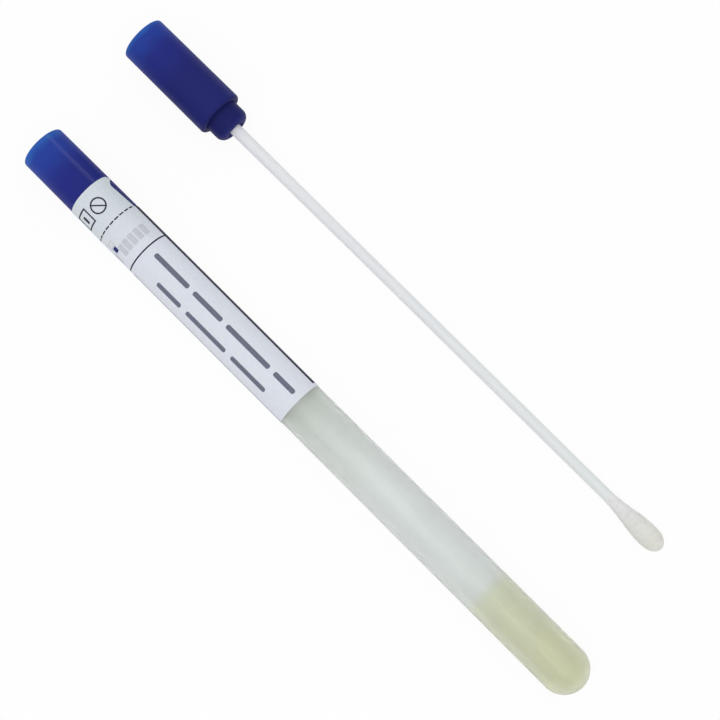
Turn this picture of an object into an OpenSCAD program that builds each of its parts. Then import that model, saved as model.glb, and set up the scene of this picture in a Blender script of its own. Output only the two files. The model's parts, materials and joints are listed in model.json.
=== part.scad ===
// Specimen swab tube: a capped transport tube with gel medium, and the swab that goes with it.
// Millimetres. Both lie on the plane Z = 0 along X, with their caps towards -X and the swab on
// the +Y side. The origin is the centre of the footprint of the two together.

/* [Tube] */
// Length of the tube, from its mouth to the tip of its round end
tube_length = 151.9; // [120:0.1:200]
// Outside diameter of the tube
tube_od = 12; // [11:0.1:16]
// Thickness of the tube's wall
tube_wall = 1.4; // [1:0.05:2]
// Thickness of the round end at its tip
tube_floor = 1.6; // [1:0.1:3]
// Lead-in chamfer inside the mouth
mouth_lead = 0.35; // [0.2:0.05:0.6]

/* [Transport medium] */
// Depth of the gel in the round end of the bore
medium_depth = 29.5; // [12:0.5:60]
// How far the gel's surface dips at its middle
medium_dip = 0.6; // [0.2:0.1:1.5]
// Gap drawn between the gel and the bore
medium_ease = 0.02; // [0.01:0.01:0.05]

/* [Caps] */
// Length of a cap's body, from its open end to the shoulder that meets the mouth
cap_length = 27; // [20:0.1:35]
// How far a cap's side stands in from the tube's side, at the shoulder
cap_step = 0; // [-0.5:0.05:0.5]
// How much further in it stands at the open end, so that it leaves its mould
cap_draft = 0.1; // [0:0.05:0.3]
// Thickness of the wall round a cap's hollow
cap_wall = 1.2; // [0.8:0.1:1.8]
// Thickness of the web between a cap's hollow and its shoulder
cap_web = 4; // [2:0.5:8]
// Rounding of the outer edge at a cap's open end
cap_rim_edge = 0.5; // [0.3:0.1:0.8]
// Rounding of the outer edge at a cap's shoulder
cap_shoulder_edge = 0.8; // [0.3:0.1:1]
// Length of the plug that enters the tube
plug_length = 5; // [3:0.1:8]
// Radial clearance of the plug in the bore
plug_ease = 0.05; // [0.02:0.01:0.1]
// Rounding of the plug's end
plug_edge = 2; // [0.5:0.1:2.4]
// Width of the dish in the plug's end
dish_d = 5; // [4:0.1:6]
// Depth of the dish in the plug's end
dish_depth = 0.8; // [0.4:0.1:1.5]

/* [Label] */
// Thickness of the label paper
label_thickness = 0.1; // [0.05:0.01:0.15]
// Length of the label on the tube, from the perforation down
label_length = 60.6; // [30:0.1:80]
// How far the tear-off tab reaches up the cap from the perforation
tab_reach = 10.2; // [7:0.1:15]
// Bare strip under the tube where the label's ends don't meet, in degrees
label_gap = 30; // [28:1:60]
// Bare part of the cap's girth beside the tab, in degrees past the bare strip
tab_short = 84.5; // [60:0.5:95]
// Rounding of the tab's outer corner, on the side that is cut in
tab_corner = 2.5; // [0.5:0.1:3]
// Distance of the cut in the tab's side from the tab's free edge
tab_cut_place = 1.05; // [0.8:0.05:3]
// How far that cut reaches in, seen from the side
tab_cut_depth = 2.95; // [1:0.05:3.5]
// Rounding of the cut's inner corner
tab_cut_corner = 2.7; // [0.5:0.1:3]
// Slope at which the tab widens from the cut to the perforation, in degrees
tab_taper = 5; // [0:1:8]

/* [Swab] */
// Length of the shaft, from the bottom of its socket to its end inside the bud
shaft_length = 150; // [110:0.1:180]
// Diameter of the shaft in its socket
shaft_d = 3; // [2.4:0.05:3.6]
// Diameter of the shaft under the bud
shaft_tip_d = 2.75; // [2:0.05:3]
// Length over which the shaft narrows, from the plug's end face
shaft_taper = 42; // [20:1:80]
// Depth of the socket, from the plug's end face
socket_depth = 11.1; // [5:0.1:14]
// Radial clearance of the shaft in its socket and in the bud
shaft_ease = 0.02; // [0.01:0.01:0.05]
// Diameter of the boss that holds the socket's blind end
boss_d = 5.6; // [4.6:0.1:6.4]
// Thickness of the boss past the socket's blind end
boss_end = 1.4; // [0.8:0.1:2.5]
// Length of the fibre bud
bud_length = 16.7; // [13.5:0.1:22]
// Largest diameter of the bud
bud_d = 5.4; // [4.4:0.05:7]
// Distance of the bud's widest place from its start
bud_widest = 12; // [8:0.1:14.5]
// Thickness of the fibre where the bud starts on the shaft
bud_start = 0.05; // [0.05:0.05:0.4]
// How far the bud reaches past the end of the shaft
bud_cover = 1.2; // [0.8:0.1:2.5]

/* [Layout] */
// Distance between the two axes
swab_spacing = 35.4; // [20:0.1:60]
// How far the swab's cap lies beyond the tube's cap
swab_lead = 2.1; // [-10:0.1:10]

/* [Hidden] */
$fn = 96;

bore_r = tube_od / 2 - tube_wall;
cap_r = tube_od / 2 - cap_step;
cap_open_r = cap_r - cap_draft;
shoulder_start = cap_length - cap_shoulder_edge;
tab_start = cap_length - tab_reach;
tab_start_r = cap_r - cap_draft * (shoulder_start - tab_start) / (shoulder_start - cap_rim_edge);
tab_side_height = -cap_r * cos(label_gap / 2 + tab_short);
plug_r = bore_r - plug_ease;
hollow_r = cap_open_r - cap_wall;
hollow_depth = cap_length - cap_web;
plug_end = cap_length + plug_length;
socket_floor = plug_end - socket_depth;
socket_r = shaft_d / 2 + shaft_ease;
boss_top = min(socket_floor - boss_end, hollow_depth);
shaft_end = socket_floor + shaft_length;
swab_tip = shaft_end + bud_cover;
bud_place = swab_tip - bud_length;
margin = 1;

// The tube lies on its wall, or on its cap if that is wider.
lie_height = max(tube_od / 2, cap_r);

// The bud's outline as [radius, distance from its start]. It swells smoothly from the shaft to
// its widest place and closes with a blunt round end.
bud_bluntness = 2.6;
function swell(z) = shaft_tip_d / 2 + bud_start
    + (bud_d / 2 - shaft_tip_d / 2 - bud_start) * (1 - cos(180 * z / bud_widest)) / 2;
function blunt(turn) = bud_d / 2 * sqrt(1 - pow(sin(turn), bud_bluntness));
bud_outline = concat(
    [for (i = [0:12]) let (z = bud_widest * i / 12) [swell(z), z]],
    [for (i = [1:11]) [blunt(90 * i / 12), bud_widest + (bud_length - bud_widest) * sin(90 * i / 12)]],
    [[0, bud_length]]);

// The swab rests on its cap's shoulder edge and on its bud, so its axis leans. The lean is the
// angle at which both reach equally far down.
function cap_reach(lean) = shoulder_start * sin(lean)
    + (cap_r - cap_shoulder_edge) * cos(lean) + cap_shoulder_edge;
function bud_reach(lean) =
    max([for (p = bud_outline) p[0] * cos(lean) + (bud_place + p[1]) * sin(lean)]);
function lean_between(low, high, steps) = let (middle = (low + high) / 2)
    steps == 0 ? middle
    : cap_reach(middle) > bud_reach(middle) ? lean_between(middle, high, steps - 1)
    : lean_between(low, middle, steps - 1);
swab_lean = lean_between(0, 10, 40);

// The footprint of the two together, with the tube cap's open end at X = 0 and the tube's axis
// at Y = 0, and the shift that centres it on the origin.
low_x = min(0, -swab_lead - (cap_open_r - cap_rim_edge) * sin(swab_lean));
high_x = cap_length + tube_length;
low_y = -lie_height - label_thickness;
high_y = swab_spacing + cap_r;
origin_shift = [-(low_x + high_x) / 2, -(low_y + high_y) / 2, 0];

// Lays a piece that is drawn along Z, from the cap's open end, in the tube's place.
module lay_tube() {
    translate(origin_shift + [0, 0, lie_height]) rotate([0, 90, 0]) children();
}

// Lays a piece that is drawn along Z, from the cap's open end, in the swab's place.
module lay_swab() {
    translate(origin_shift + [-swab_lead, swab_spacing, cap_reach(swab_lean)])
        rotate([0, 90 + swab_lean, 0]) children();
}

// Half outline of a rod of radius r and length l, with a round end.
module round_ended(r, l) {
    square([r, l - r]);
    translate([0, l - r]) intersection() {
        circle(r);
        square(r);
    }
}

// Half outline of a rod of radius r and length l. The outer edge of its far end is rounded.
module rounded_end(r, l, edge) {
    difference() {
        square([r, l]);
        translate([r - edge, l - edge]) edge_waste(edge);
    }
}

// What is cut away to round an outer corner to radius r.
module edge_waste(r) {
    difference() {
        square(r + margin);
        circle(r);
    }
}

module tube() {
    color([0.8, 0.84, 0.82, 0.6]) lay_tube() translate([0, 0, cap_length]) rotate_extrude() {
        difference() {
            round_ended(tube_od / 2, tube_length);
            round_ended(bore_r, tube_length - tube_floor);
            polygon([[0, -margin], [bore_r + mouth_lead + margin, -margin],
                     [bore_r, mouth_lead], [0, mouth_lead]]);
        }
    }
}

// The gel fills the round end of the bore, and its surface dips at the middle.
module transport_medium() {
    gel_r = bore_r - medium_ease;
    gel_end = tube_length - tube_floor - medium_ease;
    surface = gel_end - medium_depth;
    dip_r = (gel_r * gel_r + medium_dip * medium_dip) / (2 * medium_dip);
    color([0.8, 0.8, 0.68]) lay_tube() translate([0, 0, cap_length]) rotate_extrude() {
        difference() {
            round_ended(gel_r, gel_end);
            square([gel_r + margin, surface]);
            intersection() {
                translate([0, surface + medium_dip - dip_r]) circle(dip_r);
                square([gel_r + margin, gel_end]);
            }
        }
    }
}

// Half outline of a cap's body. Its side is drafted between the rounded edges of the rim and
// the shoulder.
module cap_outline() {
    difference() {
        rounded_end(cap_r, cap_length, cap_shoulder_edge);
        polygon([[cap_open_r, -margin], [cap_open_r, cap_rim_edge], [cap_r, shoulder_start],
                 [cap_r + margin, shoulder_start], [cap_r + margin, -margin]]);
        translate([cap_open_r - cap_rim_edge, cap_rim_edge]) mirror([0, 1]) edge_waste(cap_rim_edge);
    }
}

// A cap: a hollow body open at Z = 0, a shoulder and a plug with a dished end.
module cap_body() {
    rotate_extrude() {
        difference() {
            union() {
                cap_outline();
                rounded_end(plug_r, plug_end, plug_edge);
            }
            square([hollow_r, hollow_depth]);
            polygon([[0, plug_end + margin], [dish_d / 2, plug_end + margin], [dish_d / 2, plug_end],
                     [socket_r, plug_end - dish_depth], [0, plug_end - dish_depth]]);
        }
    }
}

module tube_cap() {
    color([0.17, 0.2, 0.48]) lay_tube() cap_body();
}

// The swab's cap is the same, with a blind socket for the shaft. The socket's end stands up in
// the hollow as a boss.
module swab_cap() {
    color([0.17, 0.2, 0.48]) lay_swab() difference() {
        union() {
            cap_body();
            translate([0, 0, boss_top]) cylinder(d = boss_d, h = hollow_depth - boss_top + margin);
        }
        translate([0, 0, socket_floor]) cylinder(r = socket_r, h = socket_depth + margin);
    }
}

// Half outline of a sheet of paper that lies against a side, given as [radius, distance] points.
module sheet(side) {
    polygon(concat(side, [for (i = [len(side) - 1:-1:0]) side[i] + [label_thickness, 0]]));
}

module tube_label() {
    color([0.85, 0.87, 0.9]) lay_tube() rotate([0, 0, label_gap / 2])
        rotate_extrude(angle = 360 - label_gap)
            sheet([[tube_od / 2, cap_length], [tube_od / 2, cap_length + label_length]]);
}

// The tear-off tab of the label seals the cap. One of its sides is cut in, past a pointed corner.
module seal_tab() {
    color([0.85, 0.87, 0.9]) lay_tube() difference() {
        rotate([0, 0, label_gap / 2 + tab_short])
            rotate_extrude(angle = 360 - label_gap - tab_short)
                sheet([[tab_start_r, tab_start], [cap_r, shoulder_start], [cap_r, cap_length]]);
        translate([0, cap_r + margin, 0]) rotate([90, 0, 0]) linear_extrude(cap_r + margin)
            tab_cut();
    }
}

// What is cut from the tab's side, as [distance below the tube's centre line, place along the
// tube]: the rounding of its outer corner, and all that lies past a side that starts at a
// rounded inner corner and slopes out.
module tab_cut() {
    past = tab_reach + margin;
    wide = 2 * cap_r + past;
    translate([-tab_side_height - tab_corner, tab_start + tab_corner])
        mirror([0, 1]) edge_waste(tab_corner);
    translate([-tab_side_height - tab_cut_depth, tab_start + tab_cut_place]) difference() {
        polygon([[0, 0], [wide, 0], [wide, past], [past * tan(tab_taper), past]]);
        translate([tab_cut_corner, tab_cut_corner]) rotate(180) edge_waste(tab_cut_corner);
    }
}

module swab_shaft() {
    color([0.9, 0.91, 0.92]) lay_swab() rotate_extrude()
        polygon([[0, socket_floor], [shaft_d / 2, socket_floor], [shaft_d / 2, plug_end],
                 [shaft_tip_d / 2, plug_end + shaft_taper], [shaft_tip_d / 2, shaft_end],
                 [0, shaft_end]]);
}

module swab_bud() {
    hole_r = shaft_tip_d / 2 + shaft_ease;
    hole_end = bud_length - bud_cover;
    color([0.88, 0.88, 0.85]) lay_swab() translate([0, 0, bud_place]) rotate_extrude()
        polygon(concat(bud_outline, [[0, hole_end], [hole_r, hole_end], [hole_r, 0]]));
}

tube();
transport_medium();
tube_cap();
tube_label();
seal_tab();
swab_cap();
swab_shaft();
swab_bud();
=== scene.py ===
# Swab tube and swab: finishes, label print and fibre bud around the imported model.
# Sizes are in millimetres, but the places of the camera and all of the studio are in metres.
import json
import math
import random
import bpy
from mathutils import Matrix, Vector, noise
from mathutils.bvhtree import BVHTree


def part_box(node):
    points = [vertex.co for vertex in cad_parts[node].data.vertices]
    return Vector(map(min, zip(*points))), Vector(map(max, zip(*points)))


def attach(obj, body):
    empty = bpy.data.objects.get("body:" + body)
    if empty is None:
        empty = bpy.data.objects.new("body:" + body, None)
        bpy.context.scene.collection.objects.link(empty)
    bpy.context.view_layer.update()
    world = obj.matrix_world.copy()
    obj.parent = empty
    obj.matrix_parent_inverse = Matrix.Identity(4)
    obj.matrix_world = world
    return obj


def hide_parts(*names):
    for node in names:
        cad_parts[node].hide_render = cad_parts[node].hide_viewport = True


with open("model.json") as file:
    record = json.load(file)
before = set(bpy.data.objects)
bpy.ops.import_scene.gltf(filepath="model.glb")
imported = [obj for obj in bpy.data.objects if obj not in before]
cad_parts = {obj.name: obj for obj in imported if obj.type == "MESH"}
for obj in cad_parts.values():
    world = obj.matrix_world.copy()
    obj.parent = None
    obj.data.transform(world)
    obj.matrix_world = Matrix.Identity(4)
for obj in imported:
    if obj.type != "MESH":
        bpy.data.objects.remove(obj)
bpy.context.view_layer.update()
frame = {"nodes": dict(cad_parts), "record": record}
scene = bpy.context.scene
mm = 0.001
white = "FFFFFF"


def srgb(hexText):
    values = [int(hexText[i:i + 2], 16) / 255 for i in (0, 2, 4)]
    linear = [v / 12.92 if v <= 0.04045 else ((v + 0.055) / 1.055) ** 2.4 for v in values]
    return (*linear, 1.0)


def setStops(elements, stops):
    for element, (at, colour) in zip(elements, (stops[0], stops[-1])):
        element.position = at
        element.color = srgb(colour)
    for at, colour in stops[1:-1]:
        elements.new(at).color = srgb(colour)


def addNode(material, kind, settings=None, links=None):
    node = material.node_tree.nodes.new(kind)
    for name, value in (settings or {}).items():
        if name == "stops":
            setStops(node.color_ramp.elements, value)
        elif isinstance(name, int) or name in node.inputs:
            node.inputs[name].default_value = value
        else:
            setattr(node, name, value)
    for name, source in (links or {}).items():
        material.node_tree.links.new(source, node.inputs[name])
    return node


def newMaterial(name):
    material = bpy.data.materials.new(name)
    material.use_nodes = True
    material.node_tree.nodes.clear()
    return material


def closeMaterial(material, shader):
    addNode(material, "ShaderNodeOutputMaterial", None, {"Surface": shader.outputs[0]})
    return material


def dress(node, material):
    for s in frame["nodes"][node].material_slots:
        s.material = material


# Places, all from the frame
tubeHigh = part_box("tube")[1]
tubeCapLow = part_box("tube_cap")[0]
swabCapLow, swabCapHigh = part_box("swab_cap")
labelLow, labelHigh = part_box("tube_label")
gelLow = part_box("transport_medium")[0]
budLow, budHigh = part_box("swab_bud")
mounts = {m["name"]: m for m in frame["record"]["mounts"]}
tubeY = mounts["rack_fit"]["pos_m"][1]
tubeZ = mounts["rack_fit"]["pos_m"][2]
paperRadius = labelHigh.z - tubeZ
swabPoint = Vector(mounts["swab_plug"]["pos_m"])
swabAxis = Vector(mounts["swab_plug"]["axis"]).normalized()
print("places read")

# Camera: looks down on the two from above the tube's middle
view = {
    "place": (0.05973, -0.03557, 0.44233),
    "lookAt": (0.00177, -0.00047, 0.006),
    "up": (-1, 1, 0),
    "roll": 0.0031,  # radians
    "lens": 94.81,
    "sensor": 36,
    "seesFrom": 0.01,  # metres
    "seesTo": 10,
}


def makeCamera():
    data = bpy.data.cameras.new("camera")
    data.lens = view["lens"]
    data.sensor_width = view["sensor"]
    data.clip_start = view["seesFrom"]
    data.clip_end = view["seesTo"]
    camera = bpy.data.objects.new("camera", data)
    scene.collection.objects.link(camera)
    forward = (Vector(view["lookAt"]) - Vector(view["place"])).normalized()
    right = forward.cross(Vector(view["up"])).normalized()
    above = right.cross(forward)
    turn = Matrix.Rotation(view["roll"], 3, "Z")
    axes = Matrix((right, above, -forward)).transposed() @ turn
    camera.matrix_world = Matrix.Translation(view["place"]) @ axes.to_4x4()
    scene.camera = camera


makeCamera()

# Studio: a white table in a pale dome
studio = {
    "tableSize": 3.0,
    "tableColour": "F2F2F2",
    "shadowShare": 0.07,  # how much of its shading the table shows
    "throughShare": 0.35,  # the same, seen through the tube
    "fillLevel": 0.79,
    "glossHigh": 0.36,
    "glossLow": 0.25,
}
# A wide lamp overhead, a fill lamp that leaves no gleam, and a strip for the long gleam on the tube's cap.
# StartX and startY are where a lamp begins to brighten across its face, and how bright it is before that.
lamps = [
    {"name": "lampOver", "place": (-0.08, -0.18, 0.60), "aim": (-0.08, -0.18, 0.0), "size": (0.16, 1.04),
     "turn": 0, "power": 1.0, "inGloss": True, "inDiffuse": True,
     "startX": (0.4, 0.0), "startY": (0.0, 0.24)},
    {"name": "lampFill", "place": (0.25, -0.17, 0.90), "aim": (0.0, 0.0, 0.0), "size": (0.7, 0.7),
     "turn": 0, "power": 2.05, "inGloss": False, "inDiffuse": True},
    {"name": "lampStrip", "place": (-0.39, 0.74, 0.60), "aim": (-0.39, 0.74, 0.0), "size": (0.13, 0.52),
     "turn": 14, "power": 2.6, "inGloss": True, "inDiffuse": False,
     "startX": (0.0, 1.0), "startY": (0.0, 0.2), "onlyOn": "tube_cap"},
]


def makeTable():
    bpy.ops.mesh.primitive_plane_add(size=studio["tableSize"])
    table = bpy.context.object
    table.name = "table"
    m = newMaterial("whiteTable")
    ray = addNode(m, "ShaderNodeLightPath")
    diffuse = addNode(m, "ShaderNodeBsdfDiffuse", {"Color": srgb(studio["tableColour"])})
    plain = addNode(m, "ShaderNodeEmission", {"Color": srgb(white), "Strength": 1.0})
    through = addNode(m, "ShaderNodeMath", {"operation": "MINIMUM", 1: 1 - studio["throughShare"]},
                      {0: ray.outputs["Transmission Depth"]})
    share = addNode(m, "ShaderNodeMath", {"operation": "MULTIPLY_ADD", 1: 1 - studio["shadowShare"]},
                    {0: ray.outputs["Is Camera Ray"], 2: through.outputs[0]})
    mix = addNode(m, "ShaderNodeMixShader", None,
                  {0: share.outputs[0], 1: diffuse.outputs[0], 2: plain.outputs[0]})
    table.data.materials.append(closeMaterial(m, mix))


def makeDome():
    world = bpy.data.worlds.new("dome")
    scene.world = world
    world.use_nodes = True
    world.node_tree.nodes.clear()
    ray = addNode(world, "ShaderNodeLightPath")
    place = addNode(world, "ShaderNodeTexCoord")
    split = addNode(world, "ShaderNodeSeparateXYZ", None, {0: place.outputs["Generated"]})
    fade = addNode(world, "ShaderNodeMapRange",
                   {"To Min": studio["glossLow"], "To Max": studio["glossHigh"]},
                   {"Value": split.outputs["Z"]})
    level = addNode(world, "ShaderNodeMix", {"A": studio["fillLevel"]},
                    {"Factor": ray.outputs["Is Glossy Ray"], "B": fade.outputs[0]})
    lit = addNode(world, "ShaderNodeBackground", {"Color": srgb(white)}, {"Strength": level.outputs[0]})
    plain = addNode(world, "ShaderNodeBackground", {"Color": srgb(white), "Strength": 1.0})
    seen = addNode(world, "ShaderNodeMath", {"operation": "MAXIMUM", "use_clamp": True},
                   {0: ray.outputs["Is Camera Ray"], 1: ray.outputs["Transmission Depth"]})
    mix = addNode(world, "ShaderNodeMixShader", None,
                  {0: seen.outputs[0], 1: lit.outputs[0], 2: plain.outputs[0]})
    addNode(world, "ShaderNodeOutputWorld", None, {"Surface": mix.outputs[0]})


def fadeLamp(data, lamp):
    data.use_nodes = True
    data.node_tree.nodes.clear()
    place = addNode(data, "ShaderNodeNewGeometry")
    split = addNode(data, "ShaderNodeSeparateXYZ", None, {0: place.outputs["Parametric"]})
    sides = []
    for side in ("X", "Y"):
        start, level = lamp["start" + side]
        sides.append(addNode(data, "ShaderNodeMapRange", {"From Min": start, "To Min": level},
                             {"Value": split.outputs[side]}))
    both = addNode(data, "ShaderNodeMath", {"operation": "MULTIPLY"},
                   {0: sides[0].outputs[0], 1: sides[1].outputs[0]})
    glow = addNode(data, "ShaderNodeEmission", None, {"Strength": both.outputs[0]})
    addNode(data, "ShaderNodeOutputLight", None, {"Surface": glow.outputs[0]})


def hangLamp(lamp):
    data = bpy.data.lights.new(lamp["name"], "AREA")
    data.shape = "RECTANGLE"
    data.energy = lamp["power"]
    data.size, data.size_y = lamp["size"]
    o = bpy.data.objects.new(lamp["name"], data)
    scene.collection.objects.link(o)
    o.location = lamp["place"]
    aim = Vector(lamp["aim"]) - Vector(lamp["place"])
    o.rotation_euler = aim.to_track_quat("-Z", "Y").to_euler()
    o.rotation_euler.rotate_axis("Z", math.radians(lamp["turn"]))
    o.visible_glossy = lamp["inGloss"]
    o.visible_diffuse = lamp["inDiffuse"]
    o.visible_transmission = lamp["inDiffuse"]
    if lamp["inGloss"]:
        fadeLamp(data, lamp)
    if "onlyOn" in lamp:  # light linking keeps this lamp off every other piece
        lit = bpy.data.collections.new(lamp["name"])
        lit.objects.link(frame["nodes"][lamp["onlyOn"]])
        o.light_linking.receiver_collection = lit


makeTable()
makeDome()
for lamp in lamps:
    hangLamp(lamp)
scene.view_settings.view_transform = "Standard"
print("camera and studio made")


# Two shades of one colour in soft patches of the given size
def mottled(material, place, size, shades, detail):
    patches = addNode(material, "ShaderNodeTexNoise", {"Scale": 1 / (size * mm), "Detail": detail},
                      {"Vector": place})
    ramp = addNode(material, "ShaderNodeValToRGB", {"stops": shades}, {0: patches.outputs[0]})
    return ramp.outputs[0], patches.outputs[0]


# Colours that change along a piece, each stop a distance from the start and its colour
def coloursAlong(material, along, start, stops):
    first, last = stops[0][0], stops[-1][0]
    part = addNode(material, "ShaderNodeMapRange",
                   {"From Min": start + first * mm, "From Max": start + last * mm}, {"Value": along})
    shares = [((at - first) / (last - first), colour) for at, colour in stops]
    return addNode(material, "ShaderNodeValToRGB", {"stops": shares}, {0: part.outputs[0]})


# A tint over a finish that changes along the piece in the same way
def tintAlong(material, colour, along, start, stops):
    tint = coloursAlong(material, along, start, stops)
    mix = addNode(material, "ShaderNodeMix",
                  {"data_type": "RGBA", "blend_type": "MULTIPLY", "Factor": 1.0},
                  {"A": colour, "B": tint.outputs[0]})
    return mix.outputs["Result"]


# Moulded blue polyethylene: satin; its colour carries a painted glow at the open end, where a little light
# comes through the thin wall, and painted shade at the shoulder and plug
cap = {
    "glow": ((0.3, "2C5AAC"), (1.9, "273E96"), (8.0, "242B7B"), (16.0, "23276C")),
    "tubeCapStretch": 1.5,  # the painted glow reaches further into the tube's cap
    # painted shade at the shoulder and over the plug, measured from the open end
    "shoulder": ((26.3, white), (27.4, "CCCCCC"), (28.7, "E2E2E2"), (31.0, "E2E2E2"), (32.5, white)),
    "mottle": 3.6,
    "drift": 1.0,  # how far the mottle moves the painted glow along the cap
    "grain": 0.4,
    "grainBump": {"Strength": 0.15, "Distance": 0.02 * mm},
    "finish": {"Roughness": 0.45, "IOR": 1.5, "Specular IOR Level": 0.04,
               "Coat Weight": 0.1, "Coat Roughness": 0.18, "Coat IOR": 1.5},
}


def bluePlastic(name, openEnd, stretch=1.0):
    m = newMaterial(name)
    place = addNode(m, "ShaderNodeTexCoord")
    split = addNode(m, "ShaderNodeSeparateXYZ", None, {0: place.outputs["Object"]})
    cloud = addNode(m, "ShaderNodeTexNoise", {"Scale": 1 / (cap["mottle"] * mm), "Detail": 2.0},
                    {"Vector": place.outputs["Object"]})
    drift = addNode(m, "ShaderNodeMath",
                    {"operation": "MULTIPLY_ADD", 1: 2 * cap["drift"] * mm, 2: -cap["drift"] * mm},
                    {0: cloud.outputs[0]})
    along = addNode(m, "ShaderNodeMath", {"operation": "ADD"},
                    {0: split.outputs["X"], 1: drift.outputs[0]})
    # Painted glow: the colour is lighter and bluer towards the open end, standing in for light through the
    # thin wall
    paintedGlowStops = [(at * stretch, colour) for at, colour in cap["glow"]]
    glow = coloursAlong(m, along.outputs[0], openEnd, paintedGlowStops)
    glow.color_ramp.interpolation = "EASE"
    # Painted shade: the colour darkens at the shoulder's crease and over the plug, where little light
    # comes through
    colour = tintAlong(m, glow.outputs[0], split.outputs["X"], openEnd, cap["shoulder"])
    grain = addNode(m, "ShaderNodeTexNoise", {"Scale": 1 / (cap["grain"] * mm), "Detail": 3.0},
                    {"Vector": place.outputs["Object"]})
    bump = addNode(m, "ShaderNodeBump", cap["grainBump"], {"Height": grain.outputs[0]})
    shader = addNode(m, "ShaderNodeBsdfPrincipled", cap["finish"],
                     {"Base Color": colour, "Normal": bump.outputs[0]})
    return closeMaterial(m, shader)


# Frosted polypropylene with a moulded gloss skin: cloudy, it takes colour from what lies behind it, and
# painted shade darkens it just past the label's end
frosted = {
    "shades": ((0.35, "F4F8F6"), (0.65, "F8FCFA")),
    "cloud": 3.0,
    # painted shade: the label's shadow inside the tube, darkest at the label's end
    "labelPaintedShade": ((0.0, "F2F4EF"), (6.5, "F9FAF8"), (24.0, white)),  # from the label's end
    "byGel": ((-0.7, white), (2.5, "FCFCEC")),  # from the gel's face
    "roundEnd": "FAF8DF",
    "grain": 0.333,
    "grainBump": {"Strength": 0.1, "Distance": 0.02 * mm},
    "finish": {"Roughness": 0.42, "IOR": 1.49, "Transmission Weight": 0.7, "Specular IOR Level": 0.2,
               "Coat Weight": 0.6, "Coat Roughness": 0.05, "Coat IOR": 1.49},
}


def frostedPlastic():
    m = newMaterial("frostedPolypropylene")
    place = addNode(m, "ShaderNodeTexCoord")
    cloudy = mottled(m, place.outputs["Object"], frosted["cloud"], frosted["shades"], detail=3.0)[0]
    split = addNode(m, "ShaderNodeSeparateXYZ", None, {0: place.outputs["Object"]})
    gelFace = (gelLow.x - labelHigh.x) / mm
    bareLength = (tubeHigh.x - labelHigh.x) / mm
    stops = [*frosted["labelPaintedShade"],
             *((gelFace + at, colour) for at, colour in frosted["byGel"]),
             (bareLength, frosted["roundEnd"])]
    colour = tintAlong(m, cloudy, split.outputs["X"], labelHigh.x, stops)
    grain = addNode(m, "ShaderNodeTexNoise", {"Scale": 1 / (frosted["grain"] * mm), "Detail": 2.0},
                    {"Vector": place.outputs["Object"]})
    bump = addNode(m, "ShaderNodeBump", frosted["grainBump"], {"Height": grain.outputs[0]})
    shader = addNode(m, "ShaderNodeBsdfPrincipled", frosted["finish"],
                     {"Base Color": colour, "Normal": bump.outputs[0]})
    return closeMaterial(m, shader)


# Set agar gel: pale straw, faintly cloudy, light sinks in, and it is paler towards its open face
gel = {
    "shades": ((0.35, "FAF7DE"), (0.65, "FCFAE7")),
    "cloud": 2.2,
    "face": "F6FBF0",
    "faceReach": 8.0,
    "finish": {"Roughness": 0.3, "IOR": 1.34, "Transmission Weight": 0.2, "Subsurface Weight": 0.7,
               "Subsurface Radius": (1.0, 1.0, 0.8), "Subsurface Scale": 4 * mm},
}


def agarGel():
    m = newMaterial("agarGel")
    place = addNode(m, "ShaderNodeTexCoord")
    cloudy = mottled(m, place.outputs["Object"], gel["cloud"], gel["shades"], detail=3.0)[0]
    split = addNode(m, "ShaderNodeSeparateXYZ", None, {0: place.outputs["Object"]})
    inward = addNode(m, "ShaderNodeMapRange",
                     {"From Min": gelLow.x, "From Max": gelLow.x + gel["faceReach"] * mm},
                     {"Value": split.outputs["X"]})
    thinned = addNode(m, "ShaderNodeMix", {"data_type": "RGBA", "A": srgb(gel["face"])},
                      {"Factor": inward.outputs[0], "B": cloudy})
    shader = addNode(m, "ShaderNodeBsdfPrincipled", gel["finish"],
                     {"Base Color": thinned.outputs["Result"]})
    return closeMaterial(m, shader)


# Coated label paper: bright, smooth, with a trace of fibre under the coating, a touch darker over the cap
paper = {
    "shades": ((0.3, "D6DAE4"), (0.6, "DBDFE8")),
    "fibre": 0.5,
    "fibreStretch": (0.4, 1, 1),
    "fibreBump": {"Strength": 0.12, "Distance": 0.01 * mm},
    "overCap": ((-2.0, "F6FBF7"), (1.9, "FBFCFA"), (11.0, white)),  # from the perforation
    "finish": {"Roughness": 0.55, "IOR": 1.45},
}


def coatedPaper():
    m = newMaterial("coatedPaper")
    place = addNode(m, "ShaderNodeTexCoord")
    stretch = addNode(m, "ShaderNodeMapping", {"Scale": paper["fibreStretch"]},
                      {"Vector": place.outputs["Object"]})
    fibrous, fibre = mottled(m, stretch.outputs[0], paper["fibre"], paper["shades"], detail=4.0)
    split = addNode(m, "ShaderNodeSeparateXYZ", None, {0: place.outputs["Object"]})
    colour = tintAlong(m, fibrous, split.outputs["X"], labelLow.x, paper["overCap"])
    bump = addNode(m, "ShaderNodeBump", paper["fibreBump"], {"Height": fibre})
    shader = addNode(m, "ShaderNodeBsdfPrincipled", paper["finish"],
                     {"Base Color": colour, "Normal": bump.outputs[0]})
    return closeMaterial(m, shader)


# Moulded white polystyrene: satin, with faint flow lines along the shaft, a touch duller towards the bud
shaft = {
    "shades": ((0.35, "E2E4E8"), (0.65, "E6E7EB")),
    "flow": 0.6,
    "flowStretch": (0.06, 1, 1),
    "byBud": "F9FCF8",
    "finish": {"Roughness": 0.4, "IOR": 1.59, "Specular IOR Level": 0.35},
}


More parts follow.
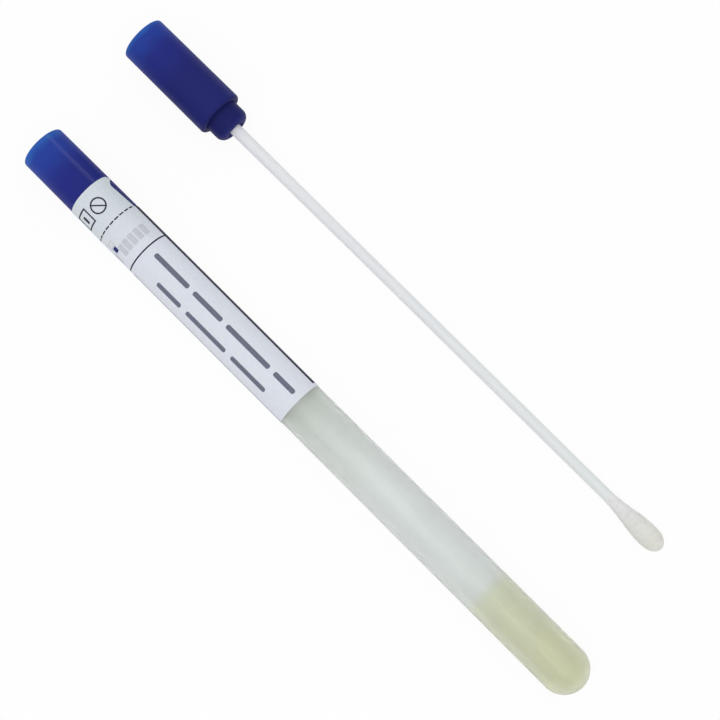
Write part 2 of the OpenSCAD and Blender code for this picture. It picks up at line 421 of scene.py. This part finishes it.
def whiteStyrene():
    m = newMaterial("whitePolystyrene")
    place = addNode(m, "ShaderNodeTexCoord")
    stretch = addNode(m, "ShaderNodeMapping", {"Scale": shaft["flowStretch"]},
                      {"Vector": place.outputs["Object"]})
    flowing = mottled(m, stretch.outputs[0], shaft["flow"], shaft["shades"], detail=2.0)[0]
    split = addNode(m, "ShaderNodeSeparateXYZ", None, {0: place.outputs["Object"]})
    bareLength = (budLow.x - swabCapHigh.x) / mm
    duller = ((0, white), (bareLength, shaft["byBud"]))
    colour = tintAlong(m, flowing, split.outputs["X"], swabCapHigh.x, duller)
    shader = addNode(m, "ShaderNodeBsdfPrincipled", shaft["finish"], {"Base Color": colour})
    return closeMaterial(m, shader)


dress("tube", frostedPlastic())
dress("transport_medium", agarGel())
dress("tube_cap", bluePlastic("bluePolyethyleneTubeCap", tubeCapLow.x, cap["tubeCapStretch"]))
dress("swab_cap", bluePlastic("bluePolyethyleneSwabCap", swabCapLow.x))
paperFinish = coatedPaper()
dress("tube_label", paperFinish)
dress("seal_tab", paperFinish)
dress("swab_shaft", whiteStyrene())
print("finishes on the packed parts")

# Printing ink: flat and matt, a little thinner in places
ink = {
    "navyInk": ("1E2036", "34374C"),
    "slateInk": ("63677A", "75798B"),
    "greyInk": ("BEC1C8", "CBCED4"),
    "blueInk": ("1B1F66", "2A2F78"),
    "thinning": (0.35, 0.75),
    "speck": 0.25,
    "finish": {"Roughness": 0.6, "IOR": 1.45, "Specular IOR Level": 0.3},
    "line": 0.36,
    "height": 0.02,  # over the paper
    "depth": 0.05,
    "strip": 0.4,  # width of the strips that bend round the tube
    "cornerSteps": 4,
    "ringSteps": 56,
}


def printInk(name):
    m = newMaterial(name)
    place = addNode(m, "ShaderNodeTexCoord")
    shades = tuple(zip(ink["thinning"], ink[name]))
    speckled = mottled(m, place.outputs["Object"], ink["speck"], shades, detail=2.0)[0]
    shader = addNode(m, "ShaderNodeBsdfPrincipled", ink["finish"], {"Base Color": speckled})
    return closeMaterial(m, shader)


# The print is laid out flat, along from the cap's open end and across from the tube's top, then wrapped
def arc(degrees):
    return math.radians(degrees) * paperRadius / mm


def startPrint(name):
    bpy.ops.object.select_all(action="DESELECT")
    o = bpy.data.objects.new(name, bpy.data.meshes.new(name))
    scene.collection.objects.link(o)
    bpy.context.view_layer.objects.active = o
    o.select_set(True)
    bpy.ops.object.mode_set(mode="EDIT")
    return o


def inkBar(along, across, corner=0.0, lean=0.0):
    start, end = along
    low, high = across
    middle = ((start + end) / 2 * mm, (low + high) / 2 * mm, 0)
    bpy.ops.mesh.primitive_plane_add(size=mm, location=middle)
    bpy.ops.transform.resize(value=(end - start, high - low, 1), center_override=middle)
    if lean:
        bpy.ops.transform.rotate(value=math.radians(lean), orient_axis="Z", center_override=middle)
    if corner:
        bpy.ops.mesh.bevel(offset=corner * mm, segments=ink["cornerSteps"], affect="VERTICES")


def inkFrame(along, across, line):
    inkBar(along, across)
    bpy.ops.mesh.inset(thickness=line * mm)
    bpy.ops.mesh.delete(type="FACE")


def inkRing(along, across, radius, line):
    bpy.ops.mesh.primitive_circle_add(vertices=ink["ringSteps"], radius=radius * mm, fill_type="NGON",
                                      location=(along * mm, across * mm, 0))
    bpy.ops.mesh.inset(thickness=line * mm)
    bpy.ops.mesh.delete(type="FACE")


def aboutTurn(degrees, width):
    return arc(degrees) - width / 2, arc(degrees) + width / 2


def wrapPrint(o, body, material):
    reach = math.pi * paperRadius
    strips = int(2 * reach / (ink["strip"] * mm))
    for i in range(strips):
        bpy.ops.mesh.select_all(action="SELECT")
        bpy.ops.mesh.bisect(plane_co=(0, -reach + (i + 0.5) * 2 * reach / strips, 0), plane_no=(0, 1, 0))
    bpy.ops.mesh.select_all(action="SELECT")
    bpy.ops.mesh.normals_make_consistent(inside=False)
    bpy.ops.object.mode_set(mode="OBJECT")
    if sum(p.normal.z for p in o.data.polygons) < 0:
        o.data.flip_normals()
    radius = paperRadius + ink["height"] * mm
    for v in o.data.vertices:
        turn = v.co.y / paperRadius
        v.co = (tubeCapLow.x + v.co.x, tubeY + radius * math.sin(turn), tubeZ + radius * math.cos(turn))
    skin = o.modifiers.new("ink", "SOLIDIFY")
    skin.thickness = ink["depth"] * mm
    skin.offset = -1
    bpy.ops.object.modifier_apply(modifier="ink")
    bpy.ops.object.shade_smooth_by_angle(angle=math.radians(30))
    o.data.materials.append(material)
    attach(o, body)


navyInk = printInk("navyInk")

# Tab: a ring with a leaning bar, a square with a bar, and the dashed perforation. Turns are in degrees.
tabMarks = {
    "ringAlong": 21.6,
    "ringTurn": -7.3,
    "ringRadius": 2.05,
    "ringBar": (19.6, 23.6),
    "ringBarWidth": 0.32,
    "ringBarLean": -45,
    "square": (19.25, 23.62),
    "squareTurns": (-77, -36),
    "squareBar": (20.5, 22.5),
    "squareBarTurn": -56,
    "squareBarWidth": 0.76,
    "squareBarCorner": 0.2,
    "dash": (26.64, 26.98),
    "dashTurns": (-80, 56.5),
    "dashLength": 1.25,
    "dashGap": 0.36,
}
tabPrint = startPrint("tab_print")
inkRing(tabMarks["ringAlong"], arc(tabMarks["ringTurn"]), tabMarks["ringRadius"], ink["line"])
inkBar(tabMarks["ringBar"], aboutTurn(tabMarks["ringTurn"], tabMarks["ringBarWidth"]),
       lean=tabMarks["ringBarLean"])
inkFrame(tabMarks["square"], [arc(turn) for turn in tabMarks["squareTurns"]], ink["line"])
inkBar(tabMarks["squareBar"], aboutTurn(tabMarks["squareBarTurn"], tabMarks["squareBarWidth"]),
       tabMarks["squareBarCorner"])
at, lastDash = [arc(turn) for turn in tabMarks["dashTurns"]]
while at + tabMarks["dashLength"] < lastDash:
    inkBar(tabMarks["dash"], (at, at + tabMarks["dashLength"]))
    at += tabMarks["dashLength"] + tabMarks["dashGap"]
wrapPrint(tabPrint, "cap", navyInk)

# Label: the rule across it, the broad line along it and the fine line at its edge
labelLines = {
    "rule": (36.82, 37.18),
    "ruleTurns": (-80, 74),
    "broadLine": (27.03, 86.6),
    "broadSides": (6.62, 8.3),
    "edgeLine": (38.2, 87.55),
    "edgeTurn": -83.5,
    "edgeWidth": 0.3,
}
labelPrint = startPrint("label_print")
inkBar(labelLines["rule"], [arc(turn) for turn in labelLines["ruleTurns"]])
inkBar(labelLines["broadLine"], labelLines["broadSides"])
edge = arc(labelLines["edgeTurn"])
inkBar(labelLines["edgeLine"], (edge, edge + labelLines["edgeWidth"]))
wrapPrint(labelPrint, "tube", navyInk)

# Rows of plain bars
rowBars = {
    "width": 1.24,
    "corner": 0.5,
    "rows": (
        {"turn": 6, "start": 39.5, "gap": 1.65, "lengths": (11.2, 9.4, 14.0, 6.6)},
        {"turn": -39, "start": 44.5, "gap": 1.9, "lengths": (7.8, 13.0, 11.2)},
    ),
}
rowPrint = startPrint("row_print")
for row in rowBars["rows"]:
    at = row["start"]
    for length in row["lengths"]:
        inkBar((at, at + length), aboutTurn(row["turn"], rowBars["width"]), rowBars["corner"])
        at += length + row["gap"]
wrapPrint(rowPrint, "tube", printInk("slateInk"))

# A row of small blocks with a place left free, and a small square
codeBlocks = {
    "block": (31.6, 34.6),
    "places": (-2, 0, 1, 2, 3, 4),
    "step": 1.85,
    "firstSide": -5.0,
    "width": 1.45,
    "corner": 0.3,
    "square": (29.1, 30.7),
    "squareTurns": (-66, -47),
    "squareLine": 0.2,
}
codePrint = startPrint("code_print")
for i in codeBlocks["places"]:
    side = codeBlocks["step"] * i + codeBlocks["firstSide"]
    inkBar(codeBlocks["block"], (side, side + codeBlocks["width"]), codeBlocks["corner"])
inkFrame(codeBlocks["square"], [arc(turn) for turn in codeBlocks["squareTurns"]], codeBlocks["squareLine"])
wrapPrint(codePrint, "tube", printInk("greyInk"))

blueBlock = {
    "along": (30.8, 32.2),
    "across": (-6.7, -5.25),
    "corner": 0.1,
}
blueMark = startPrint("blue_mark")
inkBar(blueBlock["along"], blueBlock["across"], blueBlock["corner"])
wrapPrint(blueMark, "tube", printInk("blueInk"))
print("label printed")

# Bud: viscose fibre wound round the shaft's end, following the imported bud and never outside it.
# A strand's pairs are the least and the most of a random draw, and its starts, ends and slopes are
# shares of the bud's length.
bud = {
    "around": 220,
    "rings": 170,
    "wind": 0.008,
    "windPitch": 2.6,  # winds in a millimetre
    "windSlant": 0.35,
    "windAcross": 0.25,
    "lump": 0.03,
    "lumpPitch": 0.45,
    "lumpAcross": 0.5,
    "lumpShift": 9,
    "calmRadius": 1.5,  # below this radius the hollows get shallower
    "probe": 10.0,  # a ray from this far out finds the bud's side
    "seed": 7,
    "strands": 320,
    "strandWidth": 0.03,
    "strandSteps": 14,
    "strandStart": (0.08, 0.93),
    "strandEnds": (0.04, 0.97),  # no strand runs past these
    "strandSlope": (-0.25, 0.25),
    "slopeShare": 0.3,
    "strandSweep": (0.8, 2.4),  # radians round the bud
    "strandLift": (-0.02, 0.02),
    "strandSunk": 0.03,
    "strandRise": (0.05, 0.3),  # one strand in four stands up at its end
    "wave": 0.02,
    "waveSpan": 9,  # radians over a strand
}
tiny = 1e-6  # metres
nearPole = 1e-4  # radians


def budShape():
    node = frame["nodes"]["swab_bud"]
    points = [v.co.copy() for v in node.data.vertices]
    tree = BVHTree.FromPolygons(points, [tuple(p.vertices) for p in node.data.polygons])
    places = [(p - swabPoint).dot(swabAxis) for p in points]
    return tree, min(places), max(places)


budTree, budStart, budEnd = budShape()
budSide = Vector((0, 1, 0))
budUp = swabAxis.cross(budSide)


def budRadius(along):
    centre = swabPoint + swabAxis * along
    probe = bud["probe"] * mm
    hit = budTree.ray_cast(centre + budSide * probe, -budSide, probe)
    return (hit[0] - centre).dot(budSide) if hit[0] else 0.0


def outward(turn):
    return budSide * math.cos(turn) + budUp * math.sin(turn)


def woundSink(along, turn, out, radius):
    spot = out * radius / mm
    wound = noise.noise(Vector((along / mm * bud["windPitch"] + turn * bud["windSlant"],
                                spot.y * bud["windAcross"], spot.z * bud["windAcross"])))
    lump = noise.noise(Vector((along / mm * bud["lumpPitch"],
                               spot.y * bud["lumpAcross"], spot.z * bud["lumpAcross"] + bud["lumpShift"])))
    sink = bud["wind"] * (0.5 - 0.5 * wound) + bud["lump"] * (0.5 - 0.5 * lump)
    return sink * mm * min(1.0, radius / (bud["calmRadius"] * mm))


def makeBud():
    bpy.ops.object.select_all(action="DESELECT")
    bpy.ops.mesh.primitive_uv_sphere_add(segments=bud["around"], ring_count=bud["rings"], radius=1)
    o = bpy.context.object
    o.name = "swab_bud_fibre"
    radii = {}
    for v in o.data.vertices:
        polar = math.acos(max(-1, min(1, v.co.z)))
        turn = math.atan2(v.co.y, v.co.x)
        along = budStart + (budEnd - budStart) * (1 - math.cos(polar)) / 2
        ring = round(polar, 5)
        if ring not in radii:
            radii[ring] = budRadius(min(max(along, budStart + tiny), budEnd - tiny))
        atPole = polar < nearPole or polar > math.pi - nearPole
        radius = 0.0 if atPole else radii[ring]
        out = outward(turn)
        radius = max(0.0, radius - woundSink(along, turn, out, radius))
        v.co = swabPoint + swabAxis * along + out * radius
    bpy.ops.object.mode_set(mode="EDIT")
    bpy.ops.mesh.select_all(action="SELECT")
    bpy.ops.mesh.normals_make_consistent(inside=False)
    bpy.ops.object.mode_set(mode="OBJECT")
    bpy.ops.object.shade_smooth()
    return o


def makeStrands():
    random.seed(bud["seed"])
    data = bpy.data.curves.new("bud_strands", "CURVE")
    data.dimensions = "3D"
    data.bevel_depth = bud["strandWidth"] / 2 * mm
    data.bevel_resolution = 0
    data.resolution_u = 1
    nearest, furthest = bud["strandEnds"]
    for i in range(bud["strands"]):
        start = random.uniform(*bud["strandStart"])
        turn = random.uniform(0, 2 * math.pi)
        slope = random.uniform(*bud["strandSlope"])
        sweep = random.uniform(*bud["strandSweep"])
        lift = random.uniform(*bud["strandLift"])
        rise = random.choice((0, 0, 0, random.uniform(*bud["strandRise"])))
        spline = data.splines.new("POLY")
        spline.points.add(bud["strandSteps"])
        for k, point in enumerate(spline.points):
            part = k / bud["strandSteps"]
            share = min(furthest, max(nearest, start + slope * part * sweep * bud["slopeShare"]))
            along = budStart + (budEnd - budStart) * share
            wave = bud["wave"] * math.sin(part * bud["waveSpan"] + i)
            high = (lift + wave - bud["strandSunk"] + rise * part ** 3) * mm
            p = swabPoint + swabAxis * along + outward(turn + sweep * part) * (budRadius(along) + high)
            p.z = max(p.z, bud["strandWidth"] * mm)
            point.co = (*p, 1)
    o = bpy.data.objects.new("bud_strands", data)
    scene.collection.objects.link(o)
    bpy.ops.object.select_all(action="DESELECT")
    o.select_set(True)
    bpy.context.view_layer.objects.active = o
    bpy.ops.object.convert(target="MESH")
    return bpy.context.object


# Viscose fibre: matt and soft with a faint bloom, a touch warmer towards the tip
fibreLook = {
    "shades": ((0.3, "DFE0E0"), (0.65, "E3E4E4")),
    "fibre": 0.385,
    "fibreStretch": (1, 0.3, 0.3),
    "fibreBump": {"Strength": 0.25, "Distance": 0.02 * mm},
    "neck": (0.1, "FFFEFF"),  # share of the bud's length, and its tint
    "tip": (0.9, "F7F6ED"),
    "finish": {"Roughness": 0.95, "IOR": 1.5, "Specular IOR Level": 0.1,
               "Sheen Weight": 0.15, "Sheen Roughness": 0.5},
}


def woundFibre():
    m = newMaterial("woundViscose")
    place = addNode(m, "ShaderNodeTexCoord")
    stretch = addNode(m, "ShaderNodeMapping", {"Scale": fibreLook["fibreStretch"]},
                      {"Vector": place.outputs["Object"]})
    fibrous, fibre = mottled(m, stretch.outputs[0], fibreLook["fibre"], fibreLook["shades"], detail=3.0)
    split = addNode(m, "ShaderNodeSeparateXYZ", None, {0: place.outputs["Object"]})
    budLength = (budHigh.x - budLow.x) / mm
    stops = [(share * budLength, colour) for share, colour in (fibreLook["neck"], fibreLook["tip"])]
    colour = tintAlong(m, fibrous, split.outputs["X"], budLow.x, stops)
    bump = addNode(m, "ShaderNodeBump", fibreLook["fibreBump"], {"Height": fibre})
    shader = addNode(m, "ShaderNodeBsdfPrincipled", fibreLook["finish"],
                     {"Base Color": colour, "Normal": bump.outputs[0]})
    return closeMaterial(m, shader)


fibreFinish = woundFibre()
budPiece = makeBud()
budPiece.data.materials.append(fibreFinish)
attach(budPiece, "tube")
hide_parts("swab_bud")
strandPiece = makeStrands()
strandPiece.data.materials.append(fibreFinish)
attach(strandPiece, "tube")
print("bud wound")
